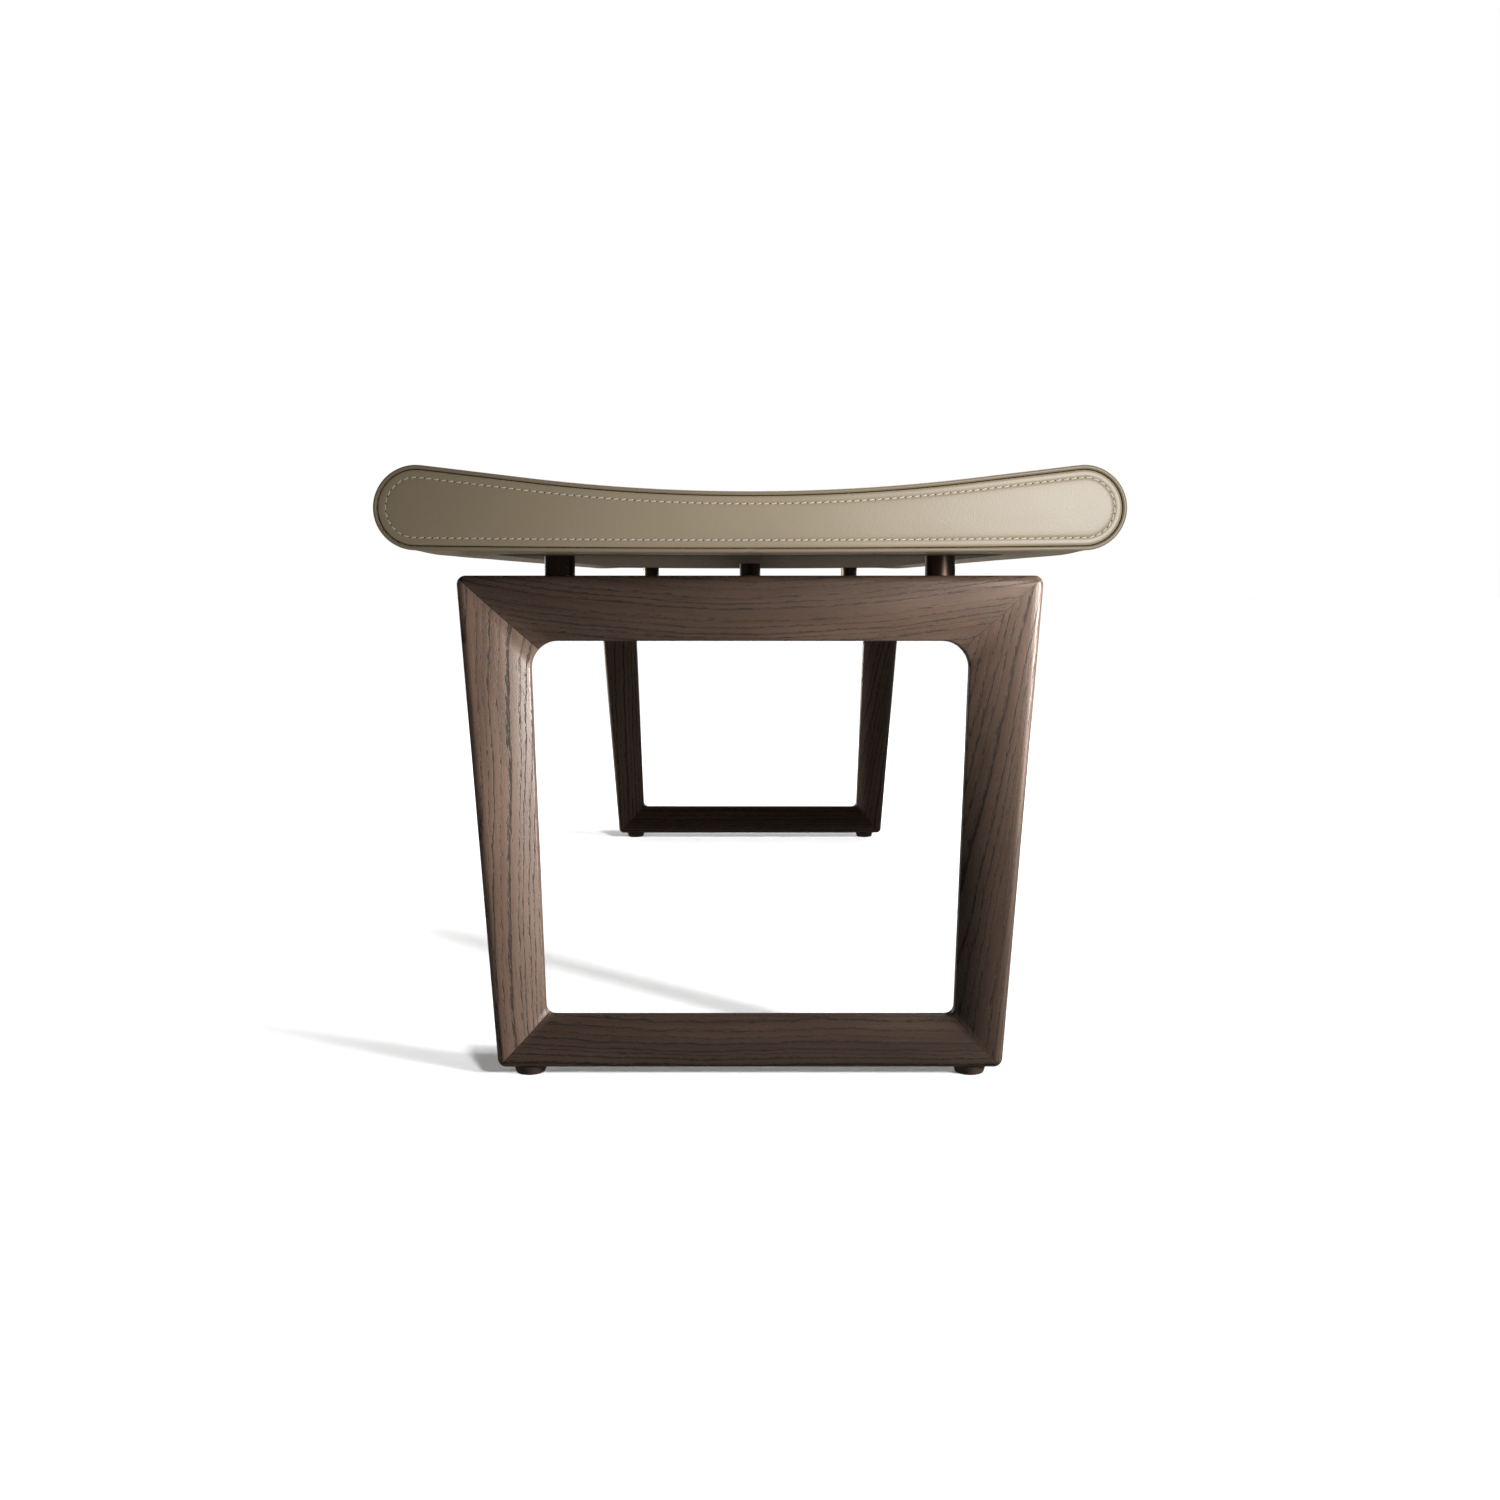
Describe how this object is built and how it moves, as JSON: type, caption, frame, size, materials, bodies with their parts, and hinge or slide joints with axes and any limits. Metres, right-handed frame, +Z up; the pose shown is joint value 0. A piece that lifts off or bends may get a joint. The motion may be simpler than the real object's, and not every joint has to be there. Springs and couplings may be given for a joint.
{
  "type": "upholstered bench",
  "caption": "Long upholstered bench with a saddle-shaped leather seat on short metal posts, carried by two closed dark wooden frames with tapering legs.",
  "frame": {"origin": "on the floor under the centre of the bench", "axes": "+Z up, +Y along the seat towards the rear end, +X across the seat to the right when seen from the front end"},
  "size_m": [0.5, 1.4, 0.4412],
  "materials": {
    "stained_ash": "dark open-grain stain, satin",
    "spline_ply": "plain",
    "beam_steel": "black powder coat",
    "bronze_metal": "dark bronze, satin",
    "fasteners": "zinc plated",
    "board_ply": "plain",
    "underside_cloth": "taupe woven cover",
    "foam": "open cell",
    "leather": "taupe, satin, fine pebble",
    "thread": "cream waxed thread",
    "glide_felt": "dark brown, matte"
  },
  "bodies": {
    "root": {"front_top_rail": "stained_ash", "front_bottom_rail": "stained_ash", "front_left_leg": "stained_ash", "front_right_leg": "stained_ash", "rear_top_rail": "stained_ash", "rear_bottom_rail": "stained_ash", "rear_left_leg": "stained_ash", "rear_right_leg": "stained_ash", "front_mitre_splines": "spline_ply", "rear_mitre_splines": "spline_ply", "centre_beam": "beam_steel", "front_beam_plate": "beam_steel", "rear_beam_plate": "beam_steel", "beam_plate_screws": "fasteners", "front_left_post": "bronze_metal", "front_right_post": "bronze_metal", "rear_left_post": "bronze_metal", "rear_right_post": "bronze_metal", "centre_post": "bronze_metal", "post_studs": "fasteners", "rail_inserts": "fasteners", "seat_inserts": "fasteners", "beam_nut": "fasteners", "seat_board": "board_ply", "underside_panel": "underside_cloth", "seat_foam": "foam", "seat_cover": "leather", "front_end_panel": "leather", "front_edge_piping": "leather", "front_stitching": "thread", "rear_end_panel": "leather", "rear_edge_piping": "leather", "rear_stitching": "thread", "front_left_glide": "glide_felt", "front_right_glide": "glide_felt", "rear_left_glide": "glide_felt", "rear_right_glide": "glide_felt", "glide_screws": "fasteners"}
  },
  "joints": []
}
